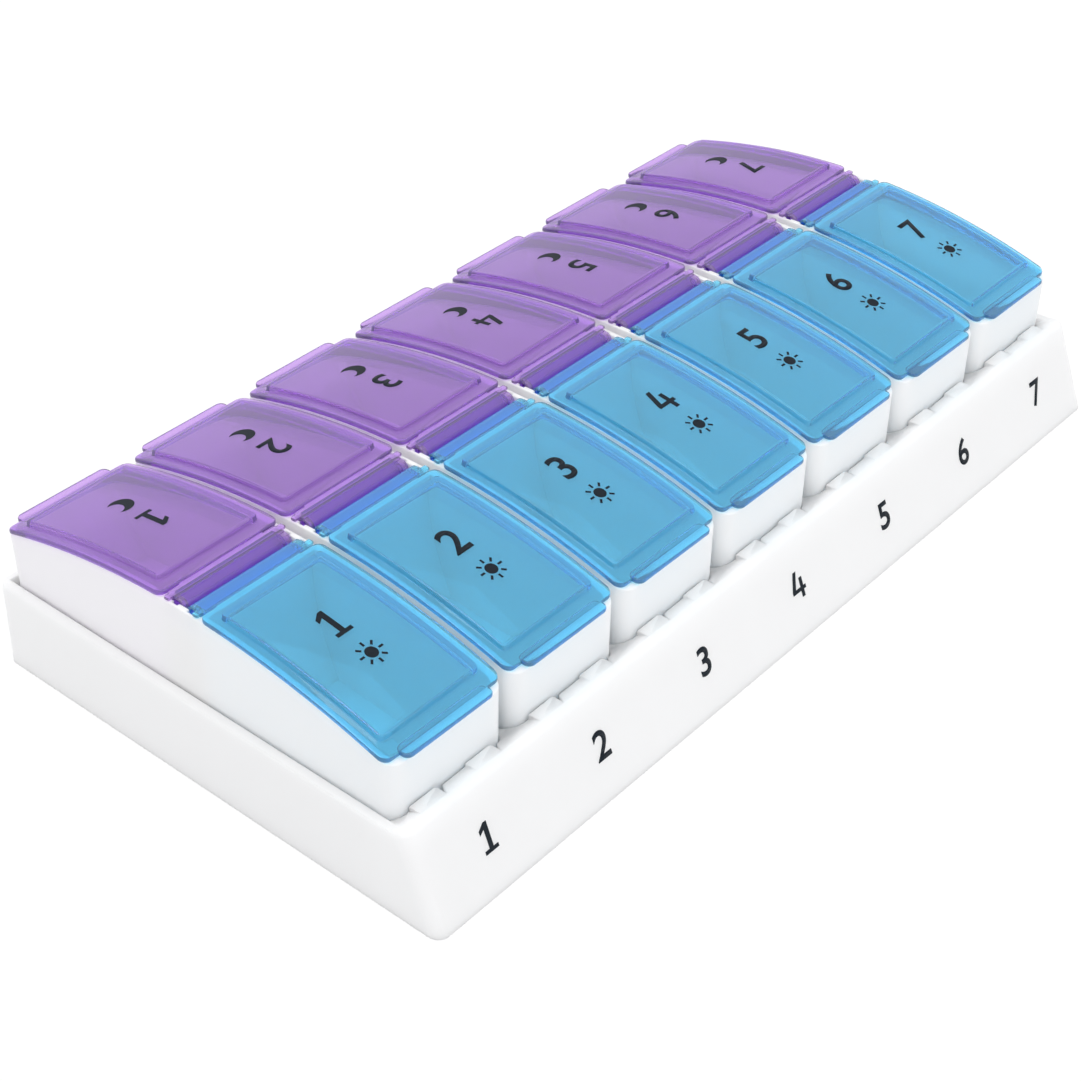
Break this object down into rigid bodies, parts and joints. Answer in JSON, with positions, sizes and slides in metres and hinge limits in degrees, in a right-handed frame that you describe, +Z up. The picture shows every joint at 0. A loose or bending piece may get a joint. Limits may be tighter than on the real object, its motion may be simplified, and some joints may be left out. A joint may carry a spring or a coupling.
{
  "type": "weekly pill organizer",
  "caption": "White tray holding a row of lift-out pill boxes, each with a see-through blue front lid and a purple rear lid on an arched top.",
  "frame": {"origin": "on the surface that the tray stands on, under the middle of the tray's footprint", "axes": "+X along the row of days, from the first to the last; +Z up; -Y is the front, where the tray slopes and the blue lids are"},
  "size_m": [0.2202, 0.1156, 0.0404],
  "materials": {
    "white_plastic": "white moulded plastic, satin",
    "blue_plastic": "see-through blue moulded plastic, polished",
    "purple_plastic": "see-through purple moulded plastic, polished"
  },
  "bodies": {
    "tray": {"tray": "white_plastic"},
    "day_1_pod": {"day_1_pod": "white_plastic"},
    "day_1_front_lid": {"day_1_front_lid": "blue_plastic"},
    "day_1_rear_lid": {"day_1_rear_lid": "purple_plastic"},
    "day_2_pod": {"day_2_pod": "white_plastic"},
    "day_2_front_lid": {"day_2_front_lid": "blue_plastic"},
    "day_2_rear_lid": {"day_2_rear_lid": "purple_plastic"},
    "day_3_pod": {"day_3_pod": "white_plastic"},
    "day_3_front_lid": {"day_3_front_lid": "blue_plastic"},
    "day_3_rear_lid": {"day_3_rear_lid": "purple_plastic"},
    "day_4_pod": {"day_4_pod": "white_plastic"},
    "day_4_front_lid": {"day_4_front_lid": "blue_plastic"},
    "day_4_rear_lid": {"day_4_rear_lid": "purple_plastic"},
    "day_5_pod": {"day_5_pod": "white_plastic"},
    "day_5_front_lid": {"day_5_front_lid": "blue_plastic"},
    "day_5_rear_lid": {"day_5_rear_lid": "purple_plastic"},
    "day_6_pod": {"day_6_pod": "white_plastic"},
    "day_6_front_lid": {"day_6_front_lid": "blue_plastic"},
    "day_6_rear_lid": {"day_6_rear_lid": "purple_plastic"},
    "day_7_pod": {"day_7_pod": "white_plastic"},
    "day_7_front_lid": {"day_7_front_lid": "blue_plastic"},
    "day_7_rear_lid": {"day_7_rear_lid": "purple_plastic"}
  },
  "joints": [
    {"name": "day_1_pod_lift", "type": "slide", "parent": "tray", "child": "day_1_pod", "axis": [0, 0, 1], "range_m": [0, 0.03]},
    {"name": "day_1_front_lid_hinge", "type": "hinge", "parent": "day_1_pod", "child": "day_1_front_lid", "pos_m": [-0.093, 0.00315, 0.03715], "axis": [-1, 0, 0], "range_deg": [0, 78]},
    {"name": "day_1_rear_lid_hinge", "type": "hinge", "parent": "day_1_pod", "child": "day_1_rear_lid", "pos_m": [-0.093, 0.00715, 0.03715], "axis": [1, 0, 0], "range_deg": [0, 78]},
    {"name": "day_2_pod_lift", "type": "slide", "parent": "tray", "child": "day_2_pod", "axis": [0, 0, 1], "range_m": [0, 0.03]},
    {"name": "day_2_front_lid_hinge", "type": "hinge", "parent": "day_2_pod", "child": "day_2_front_lid", "pos_m": [-0.062, 0.00315, 0.03715], "axis": [-1, 0, 0], "range_deg": [0, 78]},
    {"name": "day_2_rear_lid_hinge", "type": "hinge", "parent": "day_2_pod", "child": "day_2_rear_lid", "pos_m": [-0.062, 0.00715, 0.03715], "axis": [1, 0, 0], "range_deg": [0, 78]},
    {"name": "day_3_pod_lift", "type": "slide", "parent": "tray", "child": "day_3_pod", "axis": [0, 0, 1], "range_m": [0, 0.03]},
    {"name": "day_3_front_lid_hinge", "type": "hinge", "parent": "day_3_pod", "child": "day_3_front_lid", "pos_m": [-0.031, 0.00315, 0.03715], "axis": [-1, 0, 0], "range_deg": [0, 78]},
    {"name": "day_3_rear_lid_hinge", "type": "hinge", "parent": "day_3_pod", "child": "day_3_rear_lid", "pos_m": [-0.031, 0.00715, 0.03715], "axis": [1, 0, 0], "range_deg": [0, 78]},
    {"name": "day_4_pod_lift", "type": "slide", "parent": "tray", "child": "day_4_pod", "axis": [0, 0, 1], "range_m": [0, 0.03]},
    {"name": "day_4_front_lid_hinge", "type": "hinge", "parent": "day_4_pod", "child": "day_4_front_lid", "pos_m": [0, 0.00315, 0.03715], "axis": [-1, 0, 0], "range_deg": [0, 78]},
    {"name": "day_4_rear_lid_hinge", "type": "hinge", "parent": "day_4_pod", "child": "day_4_rear_lid", "pos_m": [0, 0.00715, 0.03715], "axis": [1, 0, 0], "range_deg": [0, 78]},
    {"name": "day_5_pod_lift", "type": "slide", "parent": "tray", "child": "day_5_pod", "axis": [0, 0, 1], "range_m": [0, 0.03]},
    {"name": "day_5_front_lid_hinge", "type": "hinge", "parent": "day_5_pod", "child": "day_5_front_lid", "pos_m": [0.031, 0.00315, 0.03715], "axis": [-1, 0, 0], "range_deg": [0, 78]},
    {"name": "day_5_rear_lid_hinge", "type": "hinge", "parent": "day_5_pod", "child": "day_5_rear_lid", "pos_m": [0.031, 0.00715, 0.03715], "axis": [1, 0, 0], "range_deg": [0, 78]},
    {"name": "day_6_pod_lift", "type": "slide", "parent": "tray", "child": "day_6_pod", "axis": [0, 0, 1], "range_m": [0, 0.03]},
    {"name": "day_6_front_lid_hinge", "type": "hinge", "parent": "day_6_pod", "child": "day_6_front_lid", "pos_m": [0.062, 0.00315, 0.03715], "axis": [-1, 0, 0], "range_deg": [0, 78]},
    {"name": "day_6_rear_lid_hinge", "type": "hinge", "parent": "day_6_pod", "child": "day_6_rear_lid", "pos_m": [0.062, 0.00715, 0.03715], "axis": [1, 0, 0], "range_deg": [0, 78]},
    {"name": "day_7_pod_lift", "type": "slide", "parent": "tray", "child": "day_7_pod", "axis": [0, 0, 1], "range_m": [0, 0.03]},
    {"name": "day_7_front_lid_hinge", "type": "hinge", "parent": "day_7_pod", "child": "day_7_front_lid", "pos_m": [0.093, 0.00315, 0.03715], "axis": [-1, 0, 0], "range_deg": [0, 78]},
    {"name": "day_7_rear_lid_hinge", "type": "hinge", "parent": "day_7_pod", "child": "day_7_rear_lid", "pos_m": [0.093, 0.00715, 0.03715], "axis": [1, 0, 0], "range_deg": [0, 78]}
  ]
}
